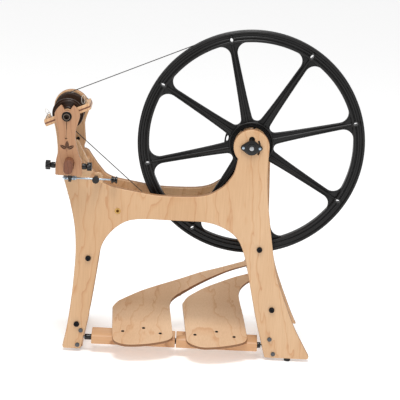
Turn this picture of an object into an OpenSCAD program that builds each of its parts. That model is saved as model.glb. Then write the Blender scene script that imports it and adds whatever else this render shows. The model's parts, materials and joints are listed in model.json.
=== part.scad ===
// Upright double-treadle spinning wheel: two plywood side panels, a moulded drive wheel between
// them, a sliding flyer head on the left and two rocking treadles at the front.
// X runs along the panels (spinner's right is +X), Y points away from the spinner, Z is up.

/* [Panels] */
// Thickness of the plywood side panels
panel_t = 18; // [15:1:20]
// Clear space between the two panels
panel_gap = 80; // [76:1:90]
// Gap between the floor and the underside of the legs, filled by the rubber feet
foot_h = 8; // [5:1:12]
// Height at which the rear panel's legs stand on the foot boards
rear_leg_z = 76; // [70:1:84]

/* [Drive wheel] */
// Outer radius of the drive wheel
wheel_r = 305; // [300:1:306]
// Width of the rim
wheel_w = 28; // [24:1:32]
// Height of the axle above the floor
axle_z = 597; // [595:1:600]
// Radius of the axle
axle_r = 6; // [5:0.5:6.5]
// Number of spokes
spokes = 8; // [8:1:8]
// Angle of the first spoke above the spinner's right
spoke_turn = 13.7; // [0:0.1:44]
// Throw of the two crank pins
crank_throw = 49; // [45:1:50]

/* [Treadles] */
// Thickness of the bent plywood treadle plates
tread_t = 8; // [7:1:9]
// Height of the treadle pivot rod
pivot_z = 41; // [40:1:42]
// Radius of the treadle pivot rod
pivot_r = 4; // [3.5:0.5:4.5]
// Slope of the foot plate in degrees
tread_slope = 8; // [6:1:9]
// Slope of the treadle arms behind the bend in degrees
arm_slope = 38; // [34:1:40]
// Radius of the bend between plate and arm
bend_r = 160; // [140:5:180]

/* [Flyer head] */
// Distance of the flyer axis to the left of the axle
flyer_x = -488; // [-489:1:-487]
// Height of the flyer axis above the floor
flyer_z = 670; // [668:1:672]
// Radius of the whorl and of the bobbin flanges
whorl_r = 41.5; // [40:0.5:43]
// Turn of the flyer arms from level in degrees
flyer_turn = 24; // [0:1:45]
// Half of the flyer's width over its arms
flyer_reach = 64; // [60:1:66]
// Height of the tension rod above the floor
tension_z = 495; // [494:1:497]

/* [Hidden] */
$fn = 48;
fit = 0.05;
gap = 0.3;
rear_y = panel_t + panel_gap;
back_y = rear_y + panel_t;
wheel_y = panel_t + panel_gap / 2;
origin_x = 122.2;
origin_y = -125;

maple = "#DDBD98";
shaded_maple = "#C8A078";
walnut = "#7D5037";
black = "#1D1B1B";
zinc = "#AAB4BE";
steel = "#9A9DA0";
brass = "#B08D57";

// ---------- helpers ----------

// Point on a smooth curve through p1 and p2, with p0 and p3 as its neighbours
function bend(p0, p1, p2, p3, t) =
    0.5 * ((2 * p1) + (p2 - p0) * t + (2 * p0 - 5 * p1 + 4 * p2 - p3) * t * t
    + (3 * p1 - p0 - 3 * p2 + p3) * t * t * t);

// Smooth open curve through a list of points, with a few steps between each two
function curve(pts, steps = 3) = concat(
    [for (i = [0 : len(pts) - 2], s = [0 : steps - 1])
        bend(pts[max(i - 1, 0)], pts[i], pts[i + 1], pts[min(i + 2, len(pts) - 1)], s / steps)],
    [pts[len(pts) - 1]]);

// Arc about a centre, from one angle to another
function arc(centre, r, from, to, steps = 12) =
    [for (i = [0 : steps]) let (a = from + (to - from) * i / steps)
        centre + r * [cos(a), sin(a)]];

// Puts a point of the side view at its X and Z
module at(p, y = 0) {
    translate([p[0], y, p[1]]) children();
}

// Side-view outline made into a plate that starts at y and is t thick
module plate(y, t) {
    translate([0, y + t, 0]) rotate([90, 0, 0]) linear_extrude(t) children();
}

// Round bar along Y
module bar_y(r, y, length) {
    translate([0, y + length, 0]) rotate([90, 0, 0]) cylinder(r = r, h = length);
}

// Round bar along X
module bar_x(r, x, length) {
    translate([x, 0, 0]) rotate([0, 90, 0]) cylinder(r = r, h = length);
}

// Slot with round ends between two points of a drawing
module slot_2d(a, b, r) {
    d = b - a;
    translate(a) circle(r);
    translate(b) circle(r);
    translate(a) rotate(atan2(d[1], d[0])) translate([0, -r]) square([norm(d), 2 * r]);
}

// Round rod between two points
module rod(a, b, r) {
    d = b - a;
    translate(a) rotate([0, acos(d[2] / norm(d)), atan2(d[1], d[0])]) cylinder(r = r, h = norm(d));
}

// Everything is drawn about the axle and the front panel's face, then set on its own origin
module place() {
    translate([origin_x, origin_y, 0]) children();
}

// ---------- side panels ----------

leg_left_outer = curve([[-497, 489], [-478, 425], [-464, 360], [-459, 300], [-460, 245],
    [-466, 160], [-475, 80], [-487, 16]]);
leg_left_inner = curve([[-436, 12], [-428, 55], [-418, 104], [-402, 222], [-393, 290],
    [-376, 331], [-341, 367], [-294, 384], [-184, 385], [-109, 384], [-60, 369],
    [-25, 343], [-4, 300], [12, 236], [36, 127], [62, 30]]);
leg_right_outer = curve([[190, 16], [166, 58], [142, 104], [101, 205], [84, 258],
    [74, 312], [60, 400], [51, 467], [47, 540], [48, 597]]);
neck = curve([[-37, 548], [-43, 523], [-53, 506], [-65, 490], [-78, 479], [-104, 463],
    [-144, 454], [-224, 452], [-264, 455], [-318, 463], [-364, 471], [-388, 481],
    [-401, 495], [-413, 509]]);
head_circle = arc([0, axle_z], 48, 4, 224, 24);
leg_foot_left = [[-486, foot_h + 2], [-483, foot_h], [-439, foot_h]];
leg_foot_right = [[68, foot_h], [184, foot_h], [188, foot_h + 2]];
low_horn = [[-424, 520], [-494, 520], [-499, 515]];
high_horn = concat(curve([[-428, 530], [-438, 545]]), [[-446, 549], [-490, 549], [-498, 541]]);

// Positions in the side view
dowels = [[-424, 269], [80, 147], [-349, 405]];
short_screw = [37, 316];
board_screw = [-450, 80];
bolts = [[-438, 62], [-446, 20], [79, 62], [91, 20]];
screw_r = 3;
screw_head_r = 7.5;
bolt_r = 4;
bearing_pitch = 22;
dowel_r = 12;

// Outline shared by both panels, with the horn at the left end given
module panel_2d(horn) {
    polygon(concat(leg_left_outer, leg_foot_left, leg_left_inner, leg_foot_right,
        leg_right_outer, head_circle, neck, horn));
}

// Slots that let the axle bearing be set square
module bearing_slots_2d() {
    slot_2d([0, axle_z - 12], [0, axle_z + 22], 8);
    polygon(concat(
        arc([-bearing_pitch, axle_z], 2 * bearing_pitch + 2.5, -26, 26),
        arc([-bearing_pitch, axle_z], 2 * bearing_pitch - 2.5, 26, -26)));
    translate([-bearing_pitch, axle_z]) circle(2.5);
}

module front_panel() {
    color(maple) difference() {
        plate(0, panel_t) difference() {
            panel_2d(low_horn);
            bearing_slots_2d();
            for (p = [dowels[0], dowels[1], short_screw, board_screw]) translate(p) circle(screw_r);
            translate(dowels[2]) circle(6);
            for (p = bolts) translate(p) circle(bolt_r);
        }
        for (x = [-445, 40]) translate([0, panel_t / 2, pivot_z]) bar_x(pivot_r, x, 32);
        at([-409, tension_z]) bar_y(4, 0, 12);
    }
}

module rear_panel() {
    color(shaded_maple) plate(rear_y, panel_t) difference() {
        panel_2d(high_horn);
        translate([-600, -1]) square([900, rear_leg_z + 1]);
        bearing_slots_2d();
        for (p = [dowels[0], dowels[1]]) translate(p) circle(screw_r);
    }
}

// Boards that run back from the front legs and carry the rear legs
module foot_boards() {
    color(maple) difference() {
        for (x = [-459, 73]) translate([x, 0, 0]) rotate([90, 0, 90]) linear_extrude(26)
            polygon([[panel_t, foot_h], [288, foot_h], [290, foot_h + 4], [290, 60], [282, 70],
                [270, rear_leg_z], [rear_y - 0.5, rear_leg_z], [rear_y - 8, 92], [panel_t, 92]]);
        for (p = bolts) at(p) bar_y(bolt_r, panel_t - 1, 45);
        at(board_screw) bar_y(screw_r, panel_t - 1, 30);
    }
}

// Turned spacers that hold the panels apart
module spacer_dowels() {
    color(maple) for (i = [0 : 2]) difference() {
        at(dowels[i]) bar_y(dowel_r, panel_t, panel_gap);
        if (i < 2) {
            at(dowels[i]) bar_y(screw_r, panel_t - 1, 21);
            at(dowels[i]) bar_y(screw_r, rear_y - 20, 21);
        }
    }
}

// Socket-head screw whose head sits on the plane y; dir is +1 for a screw that runs back
module cap_screw(p, y, length, dir = 1) {
    at(p, y) mirror([0, dir < 0 ? 1 : 0, 0]) difference() {
        union() {
            bar_y(screw_head_r, -5, 5);
            bar_y(screw_r, 0, length);
        }
        translate([0, -2, 0]) rotate([90, 0, 0]) cylinder(r = 3, h = 4, $fn = 6);
    }
}

module panel_screws() {
    color(black) {
        for (p = [dowels[0], dowels[1]]) {
            cap_screw(p, 0, panel_t + 20);
            cap_screw(p, back_y, panel_t + 20, -1);
        }
        cap_screw(short_screw, 0, panel_t + 4);
        at(short_screw) difference() {
            bar_y(7, panel_t, 4);
            bar_y(screw_r, panel_t - 1, 6);
        }
        cap_screw(board_screw, 0, panel_t + 28);
    }
}

// Zinc bolts that hold the foot boards on
module foot_bolts() {
    color(zinc) for (p = bolts) at(p) {
        bar_y(6, -3, 3);
        bar_y(bolt_r, 0, panel_t + 44);
    }
}

module rubber_feet() {
    color(black) for (p = [[131, 9], [-446, 34], [-446, 272], [86, 272]])
        translate([p[0], p[1], 0]) {
            cylinder(r1 = 8, r2 = 9, h = 2);
            translate([0, 0, 2]) cylinder(r = 9, h = foot_h - 2);
        }
}

// Threaded insert for an accessory post
module accessory_insert() {
    color(brass) at(dowels[2]) difference() {
        union() {
            bar_y(8, -1, 1);
            bar_y(6, 0, panel_t);
        }
        bar_y(4, -2, panel_t + 1);
    }
}

// ---------- axle bearings ----------

flange_round = 20;
flange_end = 7;

// Lozenge flange: a large arc above and below, a small one at each end, straight sides between
module flange_2d() {
    lean = acos((flange_round - flange_end) / bearing_pitch);
    polygon(concat(
        arc([bearing_pitch, 0], flange_end, -lean, lean, 8),
        arc([0, 0], flange_round, lean, 180 - lean, 10),
        arc([-bearing_pitch, 0], flange_end, 180 - lean, 180 + lean, 8),
        arc([0, 0], flange_round, 180 + lean, 360 - lean, 10)));
}

// Bearing housing on one panel face; out is the way that its flange faces
module axle_bearing(y, out) {
    translate([0, y, axle_z]) mirror([0, out > 0 ? 1 : 0, 0]) difference() {
        union() {
            plate(-7, 7) flange_2d();
            bar_y(11, -11, 11);
            bar_y(7.5, 0, 6);
        }
        bar_y(axle_r + fit, -12, 20);
        for (s = [-1, 1]) translate([s * bearing_pitch, 0, 0]) bar_y(2.4, -8, 10);
    }
}

module axle_bearing_front() {
    color(black) axle_bearing(0, -1);
}

module axle_bearing_rear() {
    color(black) axle_bearing(back_y, 1);
}

module bearing_screws() {
    color(steel) for (s = [-1, 1], side = [-1, 1])
        translate([s * bearing_pitch, side < 0 ? 0 : back_y, axle_z])
            mirror([0, side > 0 ? 1 : 0, 0]) {
                bar_y(3.6, -10, 3);
                bar_y(2.4, -7, 17);
            }
}

// ---------- drive wheel ----------

rim_in = 274;
hub_r = 60;
hub_w = 36;
groove_r = 300;
band_r = 1.2;

// Lays a shape that was turned about Z with its axis on the drive wheel's axle
module on_axle(y = wheel_y) {
    translate([0, y, axle_z]) rotate([90, 0, 0]) children();
}

module wheel_rim() {
    h = wheel_w / 2;
    color(black) on_axle() rotate_extrude($fn = 96) polygon([
        [rim_in, -h + 5], [rim_in + 6, -h], [wheel_r - 3, -h], [wheel_r, -h + 3],
        [wheel_r, -4], [groove_r, -2], [groove_r, 2], [wheel_r, 4],
        [wheel_r, h - 3], [wheel_r - 3, h], [rim_in + 6, h], [rim_in, h - 5]]);
}

// One spoke along +X, from the hub to the rim, with a foot that flares into the rim
module spoke_2d() {
    flare = asin(24 / rim_in);
    difference() {
        polygon(concat(
            [[(hub_r + 0.2) * cos(16), -(hub_r + 0.2) * sin(16)]],
            curve([[72, -14], [110, -12], [240, -9], [258, -12], [268, -20]]),
            arc([0, 0], rim_in, -flare, flare, 6),
            curve([[268, 20], [258, 12], [240, 9], [110, 12], [72, 14]]),
            arc([0, 0], hub_r + 0.2, 16, -15, 4)));
        slot_2d([262, -3], [262, 3], 2.5);
    }
}

module wheel_spokes() {
    color(black) on_axle() for (i = [0 : spokes - 1]) rotate(spoke_turn + i * 360 / spokes)
        translate([0, 0, -8]) linear_extrude(16) spoke_2d();
}

// Open hub: an outer ring, a core on the axle and ribs between the spokes
module wheel_hub() {
    color(black) on_axle() difference() {
        translate([0, 0, -hub_w / 2]) cylinder(r = hub_r, h = hub_w, $fn = 96);
        difference() {
            translate([0, 0, -hub_w]) cylinder(r = 46, h = 2 * hub_w);
            translate([0, 0, -hub_w / 2]) cylinder(r = 24, h = hub_w);
            for (i = [0 : spokes - 1]) rotate(spoke_turn + (i + 0.5) * 360 / spokes)
                translate([20, -3, -12]) cube([30, 6, 24]);
        }
        translate([0, 0, -hub_w]) cylinder(r = axle_r, h = 2 * hub_w);
    }
}

web_1_y = 136;
web_t = 8;
pin_r = 5;
pin_1_y = web_1_y + web_t;
pin_len = 20;
web_2_y = pin_1_y + pin_len;
pin_2_y = web_2_y + web_t;

module axle() {
    color(steel) at([0, axle_z]) bar_y(axle_r, -14, web_1_y + web_t + 14);
}

// Two flat webs: axle to the right-hand pin, then across to the left-hand pin
module crank_webs() {
    color(steel) difference() {
        union() {
            plate(web_1_y, web_t) slot_2d([0, axle_z], [crank_throw, axle_z], 11);
            plate(web_2_y, web_t) slot_2d([-crank_throw, axle_z], [crank_throw, axle_z], 10);
        }
        at([0, axle_z]) bar_y(axle_r, web_1_y - 1, web_t + 2);
        at([crank_throw, axle_z]) bar_y(pin_r, web_1_y - 1, 60);
        at([-crank_throw, axle_z]) bar_y(pin_r, web_2_y - 1, 30);
    }
}

module crank_pins() {
    color(steel) {
        at([crank_throw, axle_z]) bar_y(pin_r, web_1_y, web_2_y + web_t - web_1_y);
        at([-crank_throw, axle_z]) {
            bar_y(pin_r, web_2_y, web_t + pin_len);
            bar_y(9, pin_2_y + pin_len, 4);
        }
    }
}

// ---------- footmen ----------

strap_w = 14;
strap_t = 10;
rod_r = 3.5;
rod_in = 20;
knee_drop = 24;
knee_r = rod_r + 0.5;
eye_r = 8;
eye_bore = 4.5;
eye_t = 6;
pin_left_y = pin_2_y + pin_len / 2;
pin_right_y = pin_1_y + pin_len / 2;

// Foot of each strap on its pin's plane, then the rod's ankle and its eye behind the treadle arm
strap_left = [-crank_throw + 26, pin_left_y, axle_z - 130];
strap_right = [crank_throw + 8, pin_right_y, axle_z - 230];
foot_left = [17, 346, 176];
foot_right = [62, 334, 155];
ankle_left = foot_left + [0, 0, 200];
ankle_right = foot_right + [0, 0, 110];

// Wooden strap from the crank pin at x to its foot
module footman_strap(x, strap) {
    run = [strap[0] - x, strap[2] - axle_z];
    color(maple) difference() {
        plate(strap[1] - strap_t / 2, strap_t) translate([x, axle_z]) {
            circle(12);
            rotate(atan2(run[1], run[0])) translate([0, -strap_w / 2])
                square([norm(run) + strap_w / 2, strap_w]);
        }
        at([x, axle_z]) bar_y(pin_r + fit, strap[1] - strap_t, 2 * strap_t);
        rod(strap + [0, 0, rod_in], strap - [0, 0, knee_drop], rod_r);
    }
}

// Bent steel rod from the strap's foot back and down to the eye
module footman_rod(strap, ankle, foot) {
    knee = strap - [0, 0, knee_drop];
    color(steel) {
        rod(strap + [0, 0, rod_in], knee, rod_r);
        translate(knee) sphere(knee_r);
        rod(knee, ankle, rod_r);
        translate(ankle) sphere(knee_r);
        rod(ankle, foot + [0, 0, eye_r - 2], rod_r);
        translate(foot) difference() {
            bar_y(eye_r, -eye_t / 2, eye_t);
            bar_y(eye_bore, -eye_t, 2 * eye_t);
        }
    }
}

module footman_strap_left() {
    footman_strap(-crank_throw, strap_left);
}

module footman_rod_left() {
    footman_rod(strap_left, ankle_left, foot_left);
}

module footman_strap_right() {
    footman_strap(crank_throw, strap_right);
}

module footman_rod_right() {
    footman_rod(strap_right, ankle_right, foot_right);
}

// ---------- treadles ----------

tread_y = 14;
tread_z = 66;
bend_y = 125;
bar_front = -8;
bar_back = 36;
bar_low = 27;
bars_x = [[-408, -179], [-176, 46]];
bend_z = tread_z + tan(tread_slope) * (bend_y - tread_y);

// Side view of a treadle plate's upper (d = 0) or lower (d = its thickness) face
function tread_line(d) = let (
        top = [bend_y, bend_z] + d * [sin(tread_slope), -cos(tread_slope)],
        centre = [bend_y, bend_z] + bend_r * [-sin(tread_slope), cos(tread_slope)],
        end = centre + (bend_r + d) * [sin(arm_slope), -cos(arm_slope)])
    concat([top - 230 * [cos(tread_slope), sin(tread_slope)]],
        arc(centre, bend_r + d, tread_slope - 90, arm_slope - 90, 10),
        [end + 190 * [cos(arm_slope), sin(arm_slope)]]);

// Plan outlines of the two plates, from the foot's heel round to the arm and back
plan_left = concat(
    curve([[-360, 146], [-355, 60], [-350, -25], [-341, -56], [-313, -71], [-272, -67],
        [-232, -54], [-198, -35], [-186, -12], [-188, 25], [-195, 115], [-199, 172],
        [-186, 195], [-158, 213], [-117, 236], [-75, 256], [-32, 274], [28, 292]]),
    [[32, 296], [32, 303], [28, 308]],
    curve([[5, 300], [-61, 280], [-118, 264], [-174, 244], [-231, 225], [-286, 205],
        [-327, 184], [-349, 167], [-360, 146]]));
plan_right = concat(
    curve([[-164, 172], [-157, 98], [-150, -2], [-143, -42], [-110, -66], [-70, -63],
        [-29, -49], [6, -30], [17, -8], [17, 20], [8, 134], [-2, 190], [-5, 210],
        [1, 228], [17, 242], [40, 254], [72, 264]]),
    [[76, 268], [76, 277], [72, 281]],
    curve([[50, 275], [14, 265], [-17, 256], [-60, 240], [-102, 223], [-130, 208],
        [-152, 193], [-164, 172]]));
screws_left = [[-323, 2], [-267, 26], [-220, -1]];
screws_right = [[-125, 1], [-66, 25], [-18, -1]];
studs = [[17, 297, 176], [62, 270, 155]];
stud_len = [20, 50];

function tread_top(y) = tread_z + tan(tread_slope) * (y - tread_y);

module tread_screw_set(pts) {
    for (p = pts) translate([p[0], p[1], tread_top(p[1]) - 24]) cylinder(r = 2, h = 22);
    for (p = pts) translate([p[0], p[1], tread_top(p[1]) - 3]) cylinder(r = 4.5, h = 3);
}

module tread_screws(pts) {
    color(black) tread_screw_set(pts);
}

module treadle_stud(i) {
    translate(studs[i]) bar_y(3, -7, stud_len[i]);
}

// Bent foot plate: its side view drawn out along X, cut to its plan outline
module treadle_plate(plan, pts, i) {
    color(maple) difference() {
        intersection() {
            translate([-420, 0, 0]) rotate([90, 0, 90]) linear_extrude(560)
                polygon(concat(tread_line(0), [for (k = [11 : -1 : 0]) tread_line(tread_t)[k]]));
            linear_extrude(400) polygon(plan);
        }
        tread_screw_set(pts);
        treadle_stud(i);
    }
}

// Pivot bar under a plate, chamfered along its front
module treadle_bar(i, pts) {
    ends = bars_x[i];
    under = function (y) tread_top(y) - tread_t / cos(tread_slope);
    color(maple) difference() {
        translate([ends[0], 0, 0]) rotate([90, 0, 90]) linear_extrude(ends[1] - ends[0])
            polygon([[bar_front, bar_low + 2], [bar_front + 2, bar_low], [bar_back, bar_low],
                [bar_back, under(bar_back)], [bar_front + 9, under(bar_front + 9)],
                [bar_front, under(bar_front) - 6]]);
        translate([0, panel_t / 2, pivot_z]) bar_x(pivot_r + fit, ends[0] - 1, 300);
        tread_screw_set(pts);
    }
}

module treadle_bar_left() {
    treadle_bar(0, screws_left);
}

module treadle_plate_left() {
    treadle_plate(plan_left, screws_left, 0);
}

module treadle_screws_left() {
    tread_screws(screws_left);
}

module treadle_stud_left() {
    color(steel) treadle_stud(0);
}

module treadle_bar_right() {
    treadle_bar(1, screws_right);
}

module treadle_plate_right() {
    treadle_plate(plan_right, screws_right, 1);
}

module treadle_screws_right() {
    tread_screws(screws_right);
}

module treadle_stud_right() {
    color(steel) treadle_stud(1);
}

module treadle_pivot_rod() {
    color(steel) translate([0, panel_t / 2, pivot_z]) bar_x(pivot_r, -445, 517);
}

// Spacing collars at both ends of the pivot rod and between the two bars
module pivot_bushes() {
    color(black) for (b = [[-427, 18], [-178.7, 2.4], [46.5, 9]])
        translate([0, panel_t / 2, pivot_z]) difference() {
            bar_x(8, b[0], b[1]);
            bar_x(pivot_r, b[0] - 1, b[1] + 2);
        }
}

// ---------- flyer head ----------

head_x = [-514, -434];
block_low = 456;
block_top = 528;
block_step = [-484, 491];
upright_t = 15;
side_gap = 0.5;
bar_at = [-478, 543];
bar_half = [12, 19];
maiden_y = -62;
maiden_t = 14;
rear_maiden_y = 74;
rear_maiden_t = 14;
tube_r = 9;
shaft_r = 4.5;
post_y = -26;
post_t = 16;
rod_y = -18;
tension_r = 3;

// Section of the bar that carries the front maiden: straight sides with round top and bottom
module bar_2d(extra = 0) {
    r = bar_half[0] + extra;
    straight = bar_half[1] - bar_half[0];
    slot_2d(bar_at - [0, straight], bar_at + [0, straight], r);
}

upright_outline = concat(
    [[head_x[0] + 8, block_top - 4], [-438, block_top - 4]],
    curve([[-432, 526], [-441, 548], [-454, 572], [-459, 584]]),
    [[-464, 589], [-500, 589], [-506, 583]]);

// Block that slides between the panels, with an upright at its front for the bar
module head_block() {
    color(maple) difference() {
        union() {
            translate([head_x[0], panel_t + side_gap, block_step[1]])
                cube([head_x[1] - head_x[0], panel_gap - 2 * side_gap, block_top - block_step[1]]);
            translate([block_step[0], panel_t + side_gap, block_low])
                cube([head_x[1] - block_step[0], panel_gap - 2 * side_gap, block_top - block_low]);
            plate(panel_t + side_gap, upright_t) polygon(upright_outline);
        }
        plate(panel_t - 1, 23) bar_2d();
        plate(rear_maiden_y, rear_maiden_t) rear_maiden_2d();
        for (x = [-500, -456]) at([x, 500]) bar_y(screw_r, 60, 14);
    }
}

module rear_maiden_2d() {
    polygon(concat(
        [[-521, 500], [-521, 490], [-443, 490], [-443, 530]],
        curve([[-444, 545], [-449, 560], [-445, 575], [-447, 595], [-449, 625], [-444, 646]]),
        arc([-486, 668], 47, -14, 196, 24),
        curve([[-532, 622], [-525, 588], [-521, 553], [-521, 530]])));
}

module rear_maiden() {
    color(shaded_maple) plate(rear_maiden_y, rear_maiden_t) difference() {
        rear_maiden_2d();
        translate([flyer_x, flyer_z]) circle(9);
        for (x = [-500, -456]) translate([x, 500]) circle(screw_r);
        translate([-466, 582]) circle(screw_r);
    }
}

module maiden_screws() {
    color(black) {
        for (x = [-500, -456]) at([x, 500]) bar_y(screw_r, 62, 26);
        at([-466, 582]) {
            bar_y(screw_r, rear_maiden_y, rear_maiden_t);
            bar_y(5, rear_maiden_y - 3, 3);
        }
    }
}

// Bush in the rear maiden for the flyer shaft
module flyer_bearing() {
    color(black) at([flyer_x, flyer_z]) difference() {
        union() {
            bar_y(9, rear_maiden_y, rear_maiden_t);
            bar_y(12, rear_maiden_y + rear_maiden_t, 3);
        }
        bar_y(shaft_r + fit, rear_maiden_y - 1, 20);
    }
}

module maiden_bar() {
    color(walnut) plate(-100, 140) bar_2d();
}

// Black post under the bar that the tension rod pulls on
module tension_post() {
    color(black) difference() {
        translate([-482, post_y, tension_z - 9]) cube([8, post_t, 38]);
        plate(-100, 140) bar_2d();
        translate([0, rod_y, tension_z]) bar_x(tension_r + fit, -500, 40);
    }
}

maiden_right = curve([[-444, 530], [-446, 550], [-453, 568], [-459, 587], [-463, 605],
    [-464, 620], [-463, 634], [-459, 650], [-455, 664], [-454, 673], [-457, 684],
    [-464, 693], [-471, 699]]);
maiden_left = curve([[-504, 699], [-511, 692], [-518, 682], [-520, 672], [-517, 656],
    [-511, 634], [-507, 612], [-507, 590], [-509, 572], [-513, 552], [-514, 530]]);

// Front maiden: two ears, a clamping slit under the orifice and an arched slot for the bar
module front_maiden() {
    color(shaded_maple) difference() {
        plate(maiden_y, maiden_t) difference() {
            polygon(concat([[-514, 514], [-512, 512], [-446, 512], [-444, 514]],
                maiden_right, [[-474, 696], [-481, 684], [-493, 684], [-500, 696]], maiden_left));
            translate([flyer_x, flyer_z]) circle(13);
            translate([flyer_x - 0.8, 614]) square([1.6, 46]);
            translate([flyer_x, 612]) circle(3);
            bar_2d(gap);
        }
        translate([0, maiden_y + maiden_t / 2, bar_at[1] - 6]) {
            bar_x(3 + fit, -520, 40);
            bar_x(3 + fit, -475, 40);
        }
    }
}

module orifice_bearing() {
    color(black) at([flyer_x, flyer_z]) difference() {
        union() {
            bar_y(13, maiden_y, maiden_t);
            bar_y(13.2, maiden_y - 2, 2);
        }
        bar_y(tube_r + fit, maiden_y - 3, 20);
    }
}

// Lobed knob along X whose stem clamps the maiden to the bar; side is -1 on the left
module lock_knob(edge, side) {
    translate([edge, maiden_y + maiden_t / 2, bar_at[1] - 6]) mirror([side < 0 ? 1 : 0, 0, 0]) {
        bar_x(3, -19, 20);
        bar_x(6, 1, 12);
        bar_x(9, 13, 14);
        for (a = [15 : 60 : 315]) rotate([a, 0, 0]) translate([0, 9, 0]) bar_x(3.4, 13.5, 13);
    }
}

module lock_knob_left() {
    color(black) lock_knob(-514, -1);
}

module lock_knob_right() {
    color(black) lock_knob(-445, 1);
}

// ---------- tension screw ----------

trunnion_at = [-409, tension_z];

module trunnion_block() {
    color(maple) difference() {
        plate(-8, 8) polygon([[-414, 484], [-391, 482], [-391, 500], [-396, 508], [-404, 511],
            [-414, 508]]);
        at(trunnion_at) bar_y(4, -10, 12);
    }
}

module tension_trunnion() {
    color(black) difference() {
        at(trunnion_at) {
            bar_y(4, -8, 18);
            bar_y(7, -27, 19);
            bar_y(9.5, -31, 4);
        }
        translate([0, rod_y, tension_z]) bar_x(tension_r + fit, -420, 24);
    }
}

module tension_rod() {
    color(zinc) translate([0, rod_y, tension_z]) bar_x(tension_r, -498, 140);
}

module rod_collars() {
    color(zinc) for (x = [-495, -473.5]) translate([0, rod_y, tension_z]) difference() {
        bar_x(5.5, x, 12.5);
        bar_x(tension_r, x - 1, 15);
    }
}

module tension_knob() {
    color(black) translate([0, rod_y, tension_z]) difference() {
        union() {
            bar_x(11, -368, 6);
            bar_x(8.5, -362, 10);
            for (a = [0 : 45 : 315]) rotate([a, 0, 0]) translate([0, 8.5, 0]) bar_x(1.8, -362, 10);
        }
        bar_x(tension_r, -369, 11);
    }
}

// Two ledges under the sliding block
module slide_rails() {
    color(maple) for (y = [panel_t, rear_y - 8])
        translate([-486, y, 440]) cube([100, 8, block_low - gap - 440]);
}

// ---------- flyer and bobbin ----------

yoke_y = -44;
yoke_t = 12;
arm_end = 34;

// Puts its children on the flyer's axis
module on_flyer() {
    translate([flyer_x, 0, flyer_z]) rotate([0, -flyer_turn, 0]) children();
}

// Flat crossbar with two arms that run back past the bobbin
module flyer_yoke() {
    color(maple) on_flyer() difference() {
        intersection() {
            union() {
                translate([-flyer_reach, yoke_y, -8.5]) cube([2 * flyer_reach, yoke_t, 17]);
                for (s = [-1, 1]) translate([s > 0 ? 52 : -flyer_reach, yoke_y, -8])
                    cube([flyer_reach - 52, arm_end - yoke_y, 16]);
                bar_y(15, yoke_y, yoke_t);
            }
            bar_y(flyer_reach, yoke_y - 1, 100);
        }
        bar_y(tube_r, yoke_y - 1, 20);
        for (s = [-1, 1], y = [-20, 22]) translate([s * 58, y, 0]) cylinder(r = 1, h = 18, center = true);
    }
}

// Wire hooks in the arms
module flyer_hooks() {
    color(steel) on_flyer() for (s = [-1, 1], y = [-20, 22]) {
        translate([s * 58, y, -8]) cylinder(r = 1, h = 22);
        translate([s * 58, y - 1, 13]) bar_y(0.8, 0, 9);
    }
}

module orifice_tube() {
    color(steel) at([flyer_x, flyer_z]) difference() {
        bar_y(tube_r, maiden_y - 6, yoke_y + yoke_t - maiden_y + 6);
        bar_y(6.8, maiden_y - 7, 28);
    }
}

module flyer_shaft() {
    color(steel) at([flyer_x, flyer_z])
        bar_y(shaft_r, yoke_y + yoke_t, rear_maiden_y + rear_maiden_t + 6 - yoke_y - yoke_t);
}

whorl_groove = 37;

// Drive whorl with a groove for the band
module whorl() {
    color(black) at([flyer_x, flyer_z], wheel_y) rotate([90, 0, 0]) difference() {
        rotate_extrude($fn = 72) polygon([[0, -9], [30, -9], [32, -7], [whorl_r - 1, -7],
            [whorl_r, -5], [whorl_groove, -2], [whorl_groove, 2], [whorl_r, 5],
            [whorl_r - 1, 7], [14, 7], [14, 11], [0, 11]]);
        translate([0, 0, -12]) cylinder(r = shaft_r, h = 30);
    }
}

module bobbin() {
    color(black) at([flyer_x, flyer_z]) difference() {
        union() {
            bar_y(whorl_r, -29, 5);
            bar_y(13, -24, 62);
            bar_y(whorl_r, 38, 5);
            bar_y(18, -30.5, 1.5);
        }
        bar_y(shaft_r + fit, -31, 80);
    }
}

// ---------- drive band ----------

band_wheel = groove_r + gap + band_r;
band_whorl = whorl_groove + gap + band_r;
centre_dx = flyer_x;
centre_dz = flyer_z - axle_z;
centre_d = norm([centre_dx, centre_dz]);
centre_angle = atan2(centre_dz, centre_dx);
tangent = acos((band_wheel - band_whorl) / centre_d);

// Centre line of the band: an arc on each groove, which the straight runs join
band_line = concat(
    [for (p = arc([0, axle_z], band_wheel, centre_angle + tangent,
        centre_angle - tangent + 360, 50)) p],
    [for (p = arc([flyer_x, flyer_z], band_whorl, centre_angle - tangent,
        centre_angle + tangent, 14)) p]);
band_sides = 8;

// One ring of the tube about point i of the centre line
function band_ring(i) = let (
        n = len(band_line),
        along = band_line[(i + 1) % n] - band_line[(i + n - 1) % n],
        out = [along[1], -along[0]] / norm(along))
    [for (k = [0 : band_sides - 1]) let (a = (k + 0.5) * 360 / band_sides)
        [band_line[i][0] + band_r * cos(a) * out[0], wheel_y + band_r * sin(a),
            band_line[i][1] + band_r * cos(a) * out[1]]];

module drive_band() {
    n = len(band_line);
    m = band_sides;
    color(black) polyhedron(
        points = [for (i = [0 : n - 1]) each band_ring(i)],
        faces = [for (i = [0 : n - 1], k = [0 : m - 1])
            [i * m + k, i * m + (k + 1) % m,
                (i + 1) % n * m + (k + 1) % m, (i + 1) % n * m + k]]);
}

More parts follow.
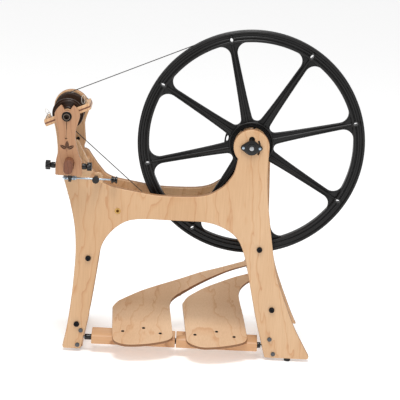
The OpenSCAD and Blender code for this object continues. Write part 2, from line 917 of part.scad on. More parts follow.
place() front_panel();
place() rear_panel();
place() foot_boards();
place() spacer_dowels();
place() panel_screws();
place() foot_bolts();
place() rubber_feet();
place() accessory_insert();
place() axle_bearing_front();
place() axle_bearing_rear();
place() bearing_screws();
place() treadle_pivot_rod();
place() pivot_bushes();
place() trunnion_block();
place() tension_trunnion();
place() slide_rails();
place() drive_band();
place() wheel_rim();
place() wheel_spokes();
place() wheel_hub();
place() axle();
place() crank_webs();
place() crank_pins();
place() footman_strap_left();
place() footman_rod_left();
place() footman_strap_right();
place() footman_rod_right();
place() treadle_bar_left();
place() treadle_plate_left();
place() treadle_screws_left();
place() treadle_stud_left();
place() treadle_bar_right();
place() treadle_plate_right();
place() treadle_screws_right();
place() treadle_stud_right();
place() head_block();
place() rear_maiden();
place() maiden_bar();
place() flyer_bearing();
place() maiden_screws();
place() tension_post();
place() front_maiden();
place() orifice_bearing();
place() lock_knob_left();
place() lock_knob_right();
place() tension_rod();
place() rod_collars();
place() tension_knob();
place() flyer_yoke();
place() flyer_hooks();
place() orifice_tube();
place() flyer_shaft();
place() whorl();
place() bobbin();
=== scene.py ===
"""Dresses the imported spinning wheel: satin plywood, a moulded drive wheel and a small flyer head.

Shapes are drawn in millimetres about the axle and the front panel's face, and are set in metres on
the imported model's own frame when they are finished.
"""

import json
import logging
import math
from collections.abc import Callable, Sequence
from dataclasses import dataclass, field
from enum import Enum

import bmesh
import bpy
from mathutils import Matrix, Vector
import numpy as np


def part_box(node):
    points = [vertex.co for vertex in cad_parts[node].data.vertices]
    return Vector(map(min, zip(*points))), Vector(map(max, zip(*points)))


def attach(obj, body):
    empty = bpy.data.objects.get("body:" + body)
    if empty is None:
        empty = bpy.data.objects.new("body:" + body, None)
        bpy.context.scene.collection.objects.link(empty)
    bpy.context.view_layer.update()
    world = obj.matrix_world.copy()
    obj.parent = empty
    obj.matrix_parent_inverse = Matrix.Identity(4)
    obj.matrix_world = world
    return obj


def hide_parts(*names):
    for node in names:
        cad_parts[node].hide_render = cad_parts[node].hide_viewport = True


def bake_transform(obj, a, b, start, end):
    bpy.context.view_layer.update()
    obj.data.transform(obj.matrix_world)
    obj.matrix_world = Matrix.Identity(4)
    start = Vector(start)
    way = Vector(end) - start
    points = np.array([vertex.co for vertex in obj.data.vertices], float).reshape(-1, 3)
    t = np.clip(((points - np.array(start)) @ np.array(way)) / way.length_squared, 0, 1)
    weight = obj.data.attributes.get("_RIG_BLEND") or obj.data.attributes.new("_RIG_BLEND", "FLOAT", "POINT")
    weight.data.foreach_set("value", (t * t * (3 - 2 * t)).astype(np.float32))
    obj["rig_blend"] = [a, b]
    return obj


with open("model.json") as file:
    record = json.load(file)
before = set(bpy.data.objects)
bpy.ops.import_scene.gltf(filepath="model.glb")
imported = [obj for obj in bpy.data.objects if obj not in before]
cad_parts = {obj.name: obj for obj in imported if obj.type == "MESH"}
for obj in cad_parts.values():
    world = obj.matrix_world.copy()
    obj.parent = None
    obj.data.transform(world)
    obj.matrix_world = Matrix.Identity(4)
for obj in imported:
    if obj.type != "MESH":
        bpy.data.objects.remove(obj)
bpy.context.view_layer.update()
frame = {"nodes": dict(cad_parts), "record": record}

LOG = logging.getLogger("spinning_wheel")
BODY_OF = {n: b for b, ns in frame["record"]["behaviour"]["bodies"].items() for n in ns}
TAU = 2 * math.pi


def middle(node: str) -> Vector:
    """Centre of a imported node's box, in metres."""
    low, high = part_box(node)
    return (low + high) / 2


ORIGIN = Vector((middle("axle").x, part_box("front_panel")[0].y, 0.0))
TO_ROW = Matrix.Translation(ORIGIN) @ Matrix.Scale(0.001, 4)
TO_MM = TO_ROW.inverted()
AXLE = TO_MM @ middle("axle")
FLYER = TO_MM @ middle("flyer_shaft")
WHEEL_Y = (TO_MM @ middle("wheel_rim")).y
UPRIGHT = Matrix.Rotation(math.pi / 2, 4, "X")


class Side(Enum):
    """Which one of a left and right pair a piece is; its value is its way along X."""

    LEFT = -1
    RIGHT = 1

    @property
    def word(self) -> str:
        """The side as node names spell it."""
        return self.name.lower()


# ---------- nodes and finishes ----------


def linear(colour: str) -> tuple[float, float, float, float]:
    """Turns an sRGB hex colour into linear light.

    Args:
        colour: Hex colour such as "#DDBB99".

    Returns:
        Red, green, blue and alpha for a shader socket.
    """
    parts = [int(colour[i : i + 2], 16) / 255 for i in (1, 3, 5)]
    r, g, b = (c / 12.92 if c <= 0.04045 else ((c + 0.055) / 1.055) ** 2.4 for c in parts)
    return (r, g, b, 1.0)


MULTIPLY = {"data_type": "RGBA", "blend_type": "MULTIPLY", 0: 1.0}


def add(
    tree: bpy.types.NodeTree,
    kind: str,
    settings: dict | None = None,
    links: dict | None = None,
    stops: Sequence[tuple[float, str]] = (),
) -> bpy.types.bpy_prop_collection:
    """Adds one node with its settings and links.

    Args:
        tree: The material's node tree.
        kind: Node type without the ShaderNode in front.
        settings: Property names, or input sockets by name or number, with their values.
        links: Input sockets by name or number, with the output socket that feeds each.
        stops: Positions and hex colours for a colour ramp.

    Returns:
        The new node's outputs.
    """
    made = tree.nodes.new("ShaderNode" + kind)
    for key, value in (settings or {}).items():
        if isinstance(key, str) and hasattr(made, key):
            setattr(made, key, value)
        else:
            made.inputs[key].default_value = value
    for key, source in (links or {}).items():
        tree.links.new(source, made.inputs[key])
    if stops:
        band = made.color_ramp.elements
        while len(band) < len(stops):
            band.new(0.5)
        for element, (position, colour) in zip(band, stops):
            element.position = position
            element.color = linear(colour)
    return made.outputs


def feed(
    tree: bpy.types.NodeTree,
    colour: bpy.types.NodeSocket,
    rough: bpy.types.NodeSocket,
    height: bpy.types.NodeSocket,
    strength: float,
    depth: float,
) -> bpy.types.bpy_prop_collection:
    """Joins a finish's colour, roughness and relief to its shader.

    Args:
        tree: The material's node tree.
        colour: Base colour.
        rough: Roughness.
        height: Relief.
        strength: How much of the relief shows.
        depth: The relief's depth in metres.

    Returns:
        The shader's inputs.
    """
    bump = add(tree, "Bump", {"Strength": strength, "Distance": depth}, {"Height": height})
    inputs = tree.nodes["Principled BSDF"].inputs
    for name, source in (("Base Color", colour), ("Roughness", rough), ("Normal", bump[0])):
        tree.links.new(source, inputs[name])
    return inputs


def per_mm(size: float) -> float:
    """Texture scale in metres that gives features of a size in millimetres."""
    return 1000 / size


@dataclass(frozen=True)
class Finish:
    """Base of the finishes: makes its material once and hands it out again."""

    name: str

    def material(self) -> bpy.types.Material:
        """Finds the finish's material, or builds it on first use.

        Returns:
            The material.
        """
        material = bpy.data.materials.get(self.name)
        if material is None:
            material = bpy.data.materials.new(self.name)
            material.use_nodes = True
            self.dress(material.node_tree)
        return material

    def dress(self, tree: bpy.types.NodeTree) -> None:
        """Each kind of finish fills its own node tree."""
        raise NotImplementedError


@dataclass(frozen=True)
class Veneer(Finish):
    """Sliced wood face under satin varnish: pale early wood with warm late-wood arches."""

    pale: str
    warm: str
    vein: str
    turn: tuple[float, float, float] = (0.0, 0.0, 0.0)
    heart: tuple[float, float] = (0.0, 0.0)
    arch_mm: float = 210.0
    side_mm: float = 34.0
    core_mm: float = 45.0
    gloss: float = 0.4
    wander_mm: float = 120.0
    patch_mm: float = 190.0
    fibre_mm: float = 2.2

    def dress(self, tree: bpy.types.NodeTree) -> None:
        """Cuts growth rings at a slant, and lays fibres and broad tone patches over them.

        Args:
            tree: The material's node tree.
        """
        place = add(tree, "TexCoord")["Object"]
        turn = tuple(math.radians(a) for a in self.turn)
        turned = add(tree, "Mapping", {"Rotation": turn}, {"Vector": place})[0]
        drawn = add(tree, "Mapping", {"Scale": (1.0, 1.0, 0.3)}, {"Vector": turned})[0]
        settings = {"Scale": per_mm(self.wander_mm), "Detail": 4.0, "Roughness": 0.6}
        wander = add(tree, "TexNoise", settings, {"Vector": drawn})["Fac"]
        x, _, z = add(tree, "SeparateXYZ", links={0: turned})
        sway = self.side_mm * 0.006
        settings = {"operation": "MULTIPLY_ADD", 1: sway, 2: -sway / 2}
        sway = add(tree, "Math", settings, {0: wander})[0]
        settings = {"operation": "SUBTRACT", 1: self.heart[0] / 1000}
        offset = add(tree, "Math", settings, {0: x})[0]
        across = add(tree, "Math", {"operation": "ADD"}, {0: offset, 1: sway})[0]
        settings = {"operation": "MULTIPLY_ADD", 2: self.core_mm**2 * 1e-6}
        square = add(tree, "Math", settings, {0: across, 1: across})[0]
        root = add(tree, "Math", {"operation": "SQRT"}, {0: square})[0]
        settings = {"operation": "MULTIPLY", 1: per_mm(self.side_mm)}
        bowl = add(tree, "Math", settings, {0: root})[0]
        settings = {"operation": "MULTIPLY_ADD", 1: per_mm(self.arch_mm), 2: self.heart[1]}
        rise = add(tree, "Math", settings, {0: z})[0]
        count = add(tree, "Math", {"operation": "ADD"}, {0: bowl, 1: rise})[0]
        ring = add(tree, "Math", {"operation": "FRACT"}, {0: count})[0]
        stops = (
            (0.0, self.pale), (0.76, self.pale), (0.9, self.warm), (0.96, self.vein),
            (1.0, self.pale),
        )
        colour = add(tree, "ValToRGB", links={0: ring}, stops=stops)[0]
        strands = add(tree, "Mapping", {"Scale": (1.0, 1.0, 0.035)}, {"Vector": turned})[0]
        settings = {"Scale": per_mm(self.fibre_mm), "Detail": 4.0, "Roughness": 0.6}
        fibre = add(tree, "TexNoise", settings, {"Vector": strands})["Fac"]
        settings = {"Scale": per_mm(self.patch_mm), "Detail": 2.0}
        patch = add(tree, "TexNoise", settings, {"Vector": drawn})["Fac"]
        for source, stops in (
            (fibre, ((0.25, "#F1EBE4"), (0.7, "#FFFFFF"))),
            (patch, ((0.3, "#F0E6D9"), (0.66, "#FFFFFF"))),
        ):
            shade = add(tree, "ValToRGB", links={0: source}, stops=stops)[0]
            colour = add(tree, "Mix", MULTIPLY, {6: colour, 7: shade})[2]
        settings = {"operation": "MULTIPLY_ADD", 1: 0.14, 2: self.gloss - 0.07}
        rough = add(tree, "Math", settings, {0: fibre})[0]
        feed(tree, colour, rough, fibre, 0.12, 0.0002)["IOR"].default_value = 1.5


@dataclass(frozen=True)
class PlyEdge(Finish):
    """Cut edge of plywood: plies turn by turn along and across, dark where end grain shows."""

    pale: str
    dark: str
    glue: str
    ply_mm: float = 1.5

    def dress(self, tree: bpy.types.NodeTree) -> None:
        """Stripes follow the depth that each piece carries in its ply_depth attribute.

        Args:
            tree: The material's node tree.
        """
        depth = add(tree, "Attribute", {"attribute_name": "ply_depth"})["Fac"]
        pair = add(tree, "Math", {"operation": "DIVIDE", 1: 2 * self.ply_mm}, {0: depth})[0]
        share = add(tree, "Math", {"operation": "FRACT"}, {0: pair})[0]
        stops = (
            (0.0, self.pale), (0.44, self.pale), (0.5, self.glue), (0.57, self.dark),
            (0.92, self.dark), (1.0, self.glue),
        )
        plies = add(tree, "ValToRGB", links={0: share}, stops=stops)[0]
        place = add(tree, "TexCoord")["Object"]
        settings = {"Scale": per_mm(1.1), "Detail": 3.0}
        pores = add(tree, "TexNoise", settings, {"Vector": place})["Fac"]
        stops = ((0.3, "#D8CCC0"), (0.62, "#FFFFFF"))
        tone = add(tree, "ValToRGB", links={0: pores}, stops=stops)[0]
        mixed = add(tree, "Mix", MULTIPLY, {6: plies, 7: tone})[2]
        settings = {"operation": "MULTIPLY_ADD", 1: -0.2, 2: 0.66}
        rough = add(tree, "Math", settings, {0: pores})[0]
        feed(tree, mixed, rough, pores, 0.3, 0.0002)


@dataclass(frozen=True)
class Moulded(Finish):
    """Moulded plastic or rubber: one body colour, a fine spark-eroded grit, soft sheen."""

    tone: str
    worn: str
    rough: float
    grit_mm: float = 1.4
    grit_depth: float = 0.00008
    sheen: float = 0.5
    cloud_mm: float = 45.0

    def dress(self, tree: bpy.types.NodeTree) -> None:
        """A fine grit in the surface and a cloudy sheen where hands have polished it.

        Args:
            tree: The material's node tree.
        """
        place = add(tree, "TexCoord")["Object"]
        settings = {"Scale": per_mm(self.grit_mm), "Detail": 2.0}
        grit = add(tree, "TexNoise", settings, {"Vector": place})["Fac"]
        settings = {"Scale": per_mm(self.cloud_mm), "Detail": 3.0}
        cloud = add(tree, "TexNoise", settings, {"Vector": place})["Fac"]
        stops = ((0.35, self.tone), (0.75, self.worn))
        tone = add(tree, "ValToRGB", links={0: cloud}, stops=stops)[0]
        settings = {"operation": "MULTIPLY_ADD", 1: 0.18, 2: self.rough - 0.12}
        base = add(tree, "Math", settings, {0: cloud})[0]
        settings = {"operation": "MULTIPLY_ADD", 1: 0.06}
        rough = add(tree, "Math", settings, {0: grit, 2: base})[0]
        inputs = feed(tree, tone, rough, grit, 0.35, self.grit_depth)
        inputs["Specular IOR Level"].default_value = self.sheen


@dataclass(frozen=True)
class Metal(Finish):
    """Bare or plated metal with fine marks drawn along one way."""

    tone: str
    shade: str
    rough: float
    drawn: tuple[float, float, float] = (1.0, 1.0, 1.0)
    mark_mm: float = 0.8

    def dress(self, tree: bpy.types.NodeTree) -> None:
        """Fine marks stretched along the drawn way vary the sheen and the tone.

        Args:
            tree: The material's node tree.
        """
        place = add(tree, "TexCoord")["Object"]
        pulled = add(tree, "Mapping", {"Scale": self.drawn}, {"Vector": place})[0]
        settings = {"Scale": per_mm(self.mark_mm), "Detail": 3.0}
        marks = add(tree, "TexNoise", settings, {"Vector": pulled})["Fac"]
        stops = ((0.3, self.shade), (0.62, self.tone))
        tone = add(tree, "ValToRGB", links={0: marks}, stops=stops)[0]
        settings = {"operation": "MULTIPLY_ADD", 1: 0.2, 2: self.rough - 0.1}
        rough = add(tree, "Math", settings, {0: marks})[0]
        feed(tree, tone, rough, marks, 0.15, 0.00005)["Metallic"].default_value = 1.0


# Maple face veneer under satin varnish: creamy, with soft honey arches up the panel.
PANEL_MAPLE = Veneer("maple_veneer_upright", "#D4B08A", "#CFA67D", "#C6976E", heart=(-60.0, 0.35))
# The far panel is the same maple, and stands in the near panel's shade.
REAR_MAPLE = Veneer("maple_veneer_far", "#D8B48E", "#D0A981", "#C3966D", heart=(20.0, 0.1))
# Treadle faces: the same veneer laid front to back, painted lighter than the panels as painted light on the
# upturned plates.
TREADLE_MAPLE_LIT = Veneer(
    "maple_veneer_treadle", "#E0BC97", "#DBB28A", "#D1A278", turn=(90.0, 0.0, 12.0),
    heart=(40.0, 0.2), arch_mm=260, side_mm=42,
)
# Small turned and sawn maple parts, straighter and a little darker in the grain.
SMALL_MAPLE = Veneer(
    "maple_solid_small", "#D9B48D", "#CFA67C", "#BC8D62", heart=(-420.0, 0.0),
    arch_mm=90, side_mm=12,
)
# The head's flat boards: the same maple in tight upright arches.
HEAD_MAPLE = Veneer(
    "maple_maiden", "#D6AE86", "#CBA077", "#B6875D", heart=(-560.0, 0.0), arch_mm=110, side_mm=14
)
# The front maiden was cut from a pinker, darker board.
PINK_MAPLE = Veneer(
    "maple_maiden_pink", "#B98D6B", "#B28564", "#A57758", heart=(-540.0, 0.3),
    arch_mm=120, side_mm=13,
)
# Pieces that run front to back, with their grain along them.
LONG_MAPLE = Veneer(
    "maple_solid_long", "#DAB690", "#D0A97F", "#BD8F64", turn=(90.0, 0.0, 0.0),
    heart=(30.0, 0.2), arch_mm=110,
)
# Bars and rails that run left to right, a shade deeper.
BAR_MAPLE = Veneer(
    "maple_solid_bar", "#CFA278", "#C39468", "#AC7A50", turn=(0.0, 90.0, 0.0),
    heart=(40.0, 0.2), arch_mm=150, side_mm=14,
)
# Oiled walnut: chocolate with darker growth lines.
WALNUT = Veneer(
    "walnut_oiled", "#7C4D36", "#6A3F2B", "#4E2C1D", turn=(90.0, 0.0, 0.0),
    heart=(-520.0, 0.0), arch_mm=60, side_mm=8, gloss=0.46,
)
# Ply edges: thin plies, each second one showing dark end grain.
PLY_EDGE = PlyEdge("maple_ply_edge", "#C79A6C", "#8A5B38", "#5F3B22")
# The treadles' ply edges: the same plies painted darker, as painted shade on edges that face down, away from
# the light.
TREADLE_EDGE_SHADED = PlyEdge("maple_ply_edge_dark", "#A97B52", "#724729", "#4A2D1A", ply_mm=1.33)
# Glass-filled nylon, moulded: nearly black with an even satin sheen.
WHEEL_NYLON = Moulded("nylon_moulded_wheel", "#0D0C0C", "#161515", 0.36, grit_mm=1.8, sheen=0.32)
BLACK_NYLON = Moulded("nylon_moulded_fitting", "#0B0A0A", "#141313", 0.26, grit_mm=1.0, sheen=0.4)
# Turned brown-black plastic: a low polish.
SPOOL_PLASTIC = Moulded(
    "acetal_turned_spool", "#2A1B12", "#38261A", 0.3, grit_mm=0.9, grit_depth=0.00004, sheen=0.35
)
# Moulded rubber: charcoal, quite matt.
FOOT_RUBBER = Moulded("rubber_moulded_foot", "#141414", "#1E1D1C", 0.75, grit_mm=1.2)
# Polyurethane cord: dark, faintly glossy, a little dusty.
BAND_CORD = Moulded("polyurethane_cord", "#2A2725", "#3A3633", 0.5, grit_mm=1.5)
# Milky, pale loops by the hooks: a painted highlight of the wire hooks, shaped as nylon loops.
HOOK_HIGHLIGHT_PALE = Moulded("nylon_natural_loop", "#C9C4BC", "#DAD6CF", 0.35, grit_mm=1.0)
# Wood scorched by a hot iron: brown-black, dead matt.
SCORCH = Moulded("maple_scorched", "#3B2416", "#5A3821", 0.85, grit_mm=0.8)
# Black-oxide steel screws: a dark metal with an oily gleam.
BLACK_OXIDE = Metal("steel_black_oxide", "#2A2A2C", "#161617", 0.4)
# Passivated steel bolt heads, dull grey.
GREY_BOLT = Metal("steel_phosphate", "#66686B", "#46484B", 0.45)
# The orifice tube has worn to a brown polish.
WORN_STEEL = Metal("steel_browned", "#7A6E64", "#54483E", 0.35)
# Bright zinc plate: pale blue-grey.
ZINC = Metal("steel_zinc_plated", "#B4C2CE", "#8FA1B0", 0.3, drawn=(0.05, 1.0, 1.0))
# Cold-drawn steel rod and wire, drawn down the length.
STEEL = Metal("steel_cold_drawn", "#B9BBBD", "#94979A", 0.32, drawn=(1.0, 0.06, 1.0))
# Thin spring wire: a little yellower than the rod.
WIRE = Metal("steel_drawn_wire", "#B2AFA9", "#8C8983", 0.35)
# Turned brass: soft gold with darker tool marks.
BRASS = Metal("brass_turned", "#C9A264", "#9D7840", 0.3)


# ---------- mesh helpers ----------


def stand(name: str, data: bpy.types.ID) -> bpy.types.Object:
    """Puts data in the scene as an object.

    Args:
        name: The object's name.
        data: Its mesh, lamp or camera.

    Returns:
        The new object.
    """
    made = bpy.data.objects.new(name, data)
    bpy.context.scene.collection.objects.link(made)
    return made


def settle(
    bm: bmesh.types.BMesh,
    name: str,
    node: str,
    finishes: Sequence[Finish],
    replaced: Sequence[str] = (),
    sharp: float = 40.0,
) -> bpy.types.Object:
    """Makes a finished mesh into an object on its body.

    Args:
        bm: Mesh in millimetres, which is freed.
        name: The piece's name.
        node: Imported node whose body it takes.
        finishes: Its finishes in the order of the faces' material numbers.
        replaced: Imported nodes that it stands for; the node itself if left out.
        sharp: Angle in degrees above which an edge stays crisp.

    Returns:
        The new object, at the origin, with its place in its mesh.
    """
    bm.transform(TO_ROW)
    for face in bm.faces:
        face.smooth = True
    mesh = bpy.data.meshes.new(name)
    bm.to_mesh(mesh)
    bm.free()
    for attribute in [a for a in mesh.attributes if a.name in ("custom_normal", "UVMap")]:
        mesh.attributes.remove(attribute)
    mesh.set_sharp_from_angle(angle=math.radians(sharp))
    for finish in finishes:
        mesh.materials.append(finish.material())
    piece = stand(name, mesh)
    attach(piece, BODY_OF[node])
    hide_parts(*(replaced or (node,)))
    LOG.info("%s: %d faces on %s", name, len(mesh.polygons), BODY_OF[node])
    return piece


def merged_copy(node: str) -> bmesh.types.BMesh:
    """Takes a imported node's mesh, with its loose triangles joined and its flats made whole.

    Args:
        node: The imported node.

    Returns:
        The mesh in millimetres.
    """
    bm = bmesh.new()
    bm.from_mesh(frame["nodes"][node].data)
    bm.transform(TO_MM)
    bmesh.ops.remove_doubles(bm, verts=bm.verts, dist=0.002)
    bmesh.ops.dissolve_limit(
        bm, angle_limit=math.radians(0.6), verts=bm.verts, edges=bm.edges, delimit=set()
    )
    return bm


def roll(
    bm: bmesh.types.BMesh,
    radius: float,
    longer: float = 2.2,
    segments: int = 3,
    spare: Callable[[Vector], bool] = lambda place: False,
) -> None:
    """Rounds the outer corners over.

    Args:
        bm: Mesh in millimetres.
        radius: Width of the rounding.
        longer: Edges shorter than this, such as those round a hole, stay as they are.
        segments: Steps across the rounding.
        spare: Says whether the edge at a place is left alone.
    """
    corners = [
        e
        for e in bm.edges
        if len(e.link_faces) == 2
        and e.is_convex
        and e.calc_face_angle(0.0) > 0.8
        and e.calc_length() > longer
        and not spare((e.verts[0].co + e.verts[1].co) / 2)
    ]
    bmesh.ops.bevel(
        bm,
        geom=corners,
        offset=radius,
        offset_type="OFFSET",
        segments=segments,
        profile=0.5,
        affect="EDGES",
        clamp_overlap=False,
        material=-1,
    )


def set_plies(
    bm: bmesh.types.BMesh, depth: Callable[[Vector], float], is_edge: Callable[[Vector], bool]
) -> None:
    """Gives a plywood piece its depth through the plies, and its cut edges the second finish.

    Args:
        bm: Mesh in millimetres.
        depth: Depth below the face at a place.
        is_edge: Says from a face's normal whether it is a cut edge.
    """
    layer = bm.verts.layers.float.new("ply_depth")
    for vert in bm.verts:
        vert[layer] = depth(vert.co)
    bm.normal_update()
    for face in bm.faces:
        face.material_index = 1 if is_edge(face.normal) else 0


def weigh_normals(piece: bpy.types.Object) -> None:
    """Keeps broad flats flat beside their rounded edges."""
    modifier = piece.modifiers.new("even_flats", "WEIGHTED_NORMAL")
    modifier.keep_sharp = True


def lathe(
    profile: Sequence[tuple[float, float]], steps: int = 96, sweep: float = TAU
) -> bmesh.types.BMesh:
    """Turns a closed outline about Z.

    Args:
        profile: Points of (radius, height along the axis), in order round the outline.
        steps: Steps in the turn.
        sweep: Angle of the turn.

    Returns:
        The turned solid.
    """
    bm = bmesh.new()
    verts = [bm.verts.new((r, 0.0, z)) for r, z in profile]
    edges = [bm.edges.new((verts[i - 1], verts[i])) for i in range(len(verts))]
    if sweep < TAU:
        bm.faces.new(verts)
    bmesh.ops.spin(
        bm,
        geom=verts + edges + list(bm.faces),
        cent=(0, 0, 0),
        axis=(0, 0, 1),
        angle=sweep,
        steps=steps,
        use_merge=sweep >= TAU,
        use_duplicate=False,
    )
    bmesh.ops.remove_doubles(bm, verts=bm.verts, dist=0.001)
    bmesh.ops.recalc_face_normals(bm, faces=bm.faces)
    return bm


def mirrored(side: Sequence[tuple[float, float]]) -> list[tuple[float, float]]:
    """A lathe outline made whole with the mirror image of its upper half."""
    return [*side, *((r, -z) for r, z in reversed(side))]


def arc(
    centre: tuple[float, float], radius: float, angles: Sequence[float]
) -> list[tuple[float, float]]:
    """Points on a circle at several angles in degrees."""
    turns = [math.radians(a) for a in angles]
    return [(centre[0] + radius * math.cos(a), centre[1] + radius * math.sin(a)) for a in turns]


def joined(parts: Sequence[bmesh.types.BMesh]) -> bmesh.types.BMesh:
    """Puts several meshes into the first one and frees the rest.

    Args:
        parts: The meshes.

    Returns:
        The first mesh, which holds them all.
    """
    for part in parts[1:]:
        spare = bpy.data.meshes.new("spare")
        part.to_mesh(spare)
        part.free()
        parts[0].from_mesh(spare)
        bpy.data.meshes.remove(spare)
    return parts[0]


def copies_round(part: bmesh.types.BMesh, angles: Sequence[float]) -> bmesh.types.BMesh:
    """Repeats a mesh at several angles about Z.

    Args:
        part: The mesh at angle nought, which is freed.
        angles: Angles in degrees.

    Returns:
        One mesh of all the copies.
    """
    turned = []
    for angle in angles:
        copy = part.copy()
        copy.transform(Matrix.Rotation(math.radians(angle), 4, "Z"))
        turned.append(copy)
    part.free()
    return joined(turned)


def wire(
    points: Sequence[Vector], radius: float, closed: bool = False, sides: int = 4
) -> bmesh.types.BMesh:
    """A round wire along a line.

    Args:
        points: The line in millimetres.
        radius: The wire's radius.
        closed: Whether its end joins its start.
        sides: Curve resolution of the section.

    Returns:
        The wire as a mesh.
    """
    curve = bpy.data.curves.new("line", "CURVE")
    curve.dimensions = "3D"
    curve.bevel_depth = radius
    curve.bevel_resolution = sides
    curve.use_fill_caps = not closed
    spline = curve.splines.new("POLY")
    spline.points.add(len(points) - 1)
    for point, place in zip(spline.points, points):
        point.co = (*place, 1.0)
    spline.use_cyclic_u = closed
    carrier = bpy.data.objects.new("line", curve)
    mesh = bpy.data.meshes.new_from_object(carrier)
    bm = bmesh.new()
    bm.from_mesh(mesh)
    bpy.data.objects.remove(carrier)
    bpy.data.curves.remove(curve)
    bpy.data.meshes.remove(mesh)
    bmesh.ops.remove_doubles(bm, verts=bm.verts, dist=0.001)
    bmesh.ops.recalc_face_normals(bm, faces=bm.faces)
    return bm


def bent_line(corners: Sequence[Vector], radius: float, steps: int = 6) -> list[Vector]:
    """A line through corners, with each inner corner turned on a radius.

    Args:
        corners: The line's corners.
        radius: Radius of each bend.
        steps: Points in each bend.

    Returns:
        The smooth line's points.
    """
    line = [corners[0]]
    for before, corner, after in zip(corners, corners[1:], corners[2:]):
        back, on = (before - corner).normalized(), (after - corner).normalized()
        reach = min(radius, 0.45 * (before - corner).length, 0.45 * (after - corner).length)
        start, end = corner + back * reach, corner + on * reach
        for i in range(steps + 1):
            t = i / steps
            line.append((1 - t) ** 2 * start + 2 * t * (1 - t) * corner + t * t * end)
    line.append(corners[-1])
    return line


def oval(radial: float, across: float, height: float, steps: int = 32) -> bmesh.types.BMesh:
    """An upright oval post about Z, for cutting a hole.

    Args:
        radial: Half its width along X.
        across: Half its width along Y.
        height: Its height.
        steps: Steps round it.

    Returns:
        The post.
    """
    bm = bmesh.new()
    bmesh.ops.create_cone(bm, cap_ends=True, segments=steps, radius1=1.0, radius2=1.0, depth=height)
    bm.transform(Matrix.Diagonal((radial, across, 1.0, 1.0)))
    return bm


def cut(body: bmesh.types.BMesh, tool: bmesh.types.BMesh) -> bmesh.types.BMesh:
    """Cuts one closed mesh out of another.

    Args:
        body: The mesh that is cut, which is freed.
        tool: The mesh that cuts, which is freed.

    Returns:
        What is left of the body.
    """
    objects = []
    for part in (body, tool):
        mesh = bpy.data.meshes.new("cut")
        part.to_mesh(mesh)
        part.free()
        objects.append(stand("cut", mesh))
    modifier = objects[0].modifiers.new("cut", "BOOLEAN")
    modifier.operation = "DIFFERENCE"
    modifier.solver = "EXACT"
    modifier.object = objects[1]
    ready = objects[0].evaluated_get(bpy.context.evaluated_depsgraph_get())
    bm = bmesh.new()
    bm.from_mesh(ready.to_mesh())
    for made in objects:
        mesh = made.data
        bpy.data.objects.remove(made)
        bpy.data.meshes.remove(mesh)
    return bm


# ---------- wood ----------


@dataclass(frozen=True)
class Board:
    """A wooden node that keeps its shape and gets rounded edges, grain and ply edges."""

    node: str
    finish: Finish
    edge: Finish | None = None
    roll_mm: float = 1.5
    longer_mm: float = 2.2
    face: Vector = field(default_factory=lambda: Vector((0, 1, 0)))

    def build(self, spare: Callable[[Vector], bool] = lambda place: False) -> None:
        """Makes the piece.

        Args:
            spare: Says whether the edge at a place stays sharp.
        """
        bm = merged_copy(self.node)
        roll(bm, self.roll_mm, self.longer_mm, spare=spare)
        finishes = [self.finish]
        if self.edge:
            start = min(v.co.dot(self.face) for v in bm.verts)
            set_plies(
                bm,
                lambda place: place.dot(self.face) - start,
                lambda normal: abs(normal.dot(self.face)) < 0.5,
            )
            finishes.append(self.edge)
        weigh_normals(settle(bm, self.node + "_wood", self.node, finishes))


@dataclass
class SidePanels:
    """The two plywood panels and what stands between and under them."""

    round_over: float = 3.2
    bearing_reach: float = 34.0

    def near_bearing(self, place: Vector) -> bool:
        """Whether a place is at the axle bearing's slots, which stay sharp."""
        return Vector((place.x - AXLE.x, place.z - AXLE.z)).length < self.bearing_reach

    def build(self) -> None:
        """Makes the panels, the foot boards, the spacers and the rails."""
        Board("front_panel", PANEL_MAPLE, PLY_EDGE, self.round_over).build(self.near_bearing)
        Board("rear_panel", REAR_MAPLE, PLY_EDGE, self.round_over).build(self.near_bearing)
        Board("foot_boards", LONG_MAPLE, PLY_EDGE, 2.0, face=Vector((1, 0, 0))).build()
        Board("spacer_dowels", LONG_MAPLE, None, 0.8, 1.4).build()
        Board("slide_rails", BAR_MAPLE, None, 1.0).build()
        Board("trunnion_block", SMALL_MAPLE, None, 1.2, 2.0).build()


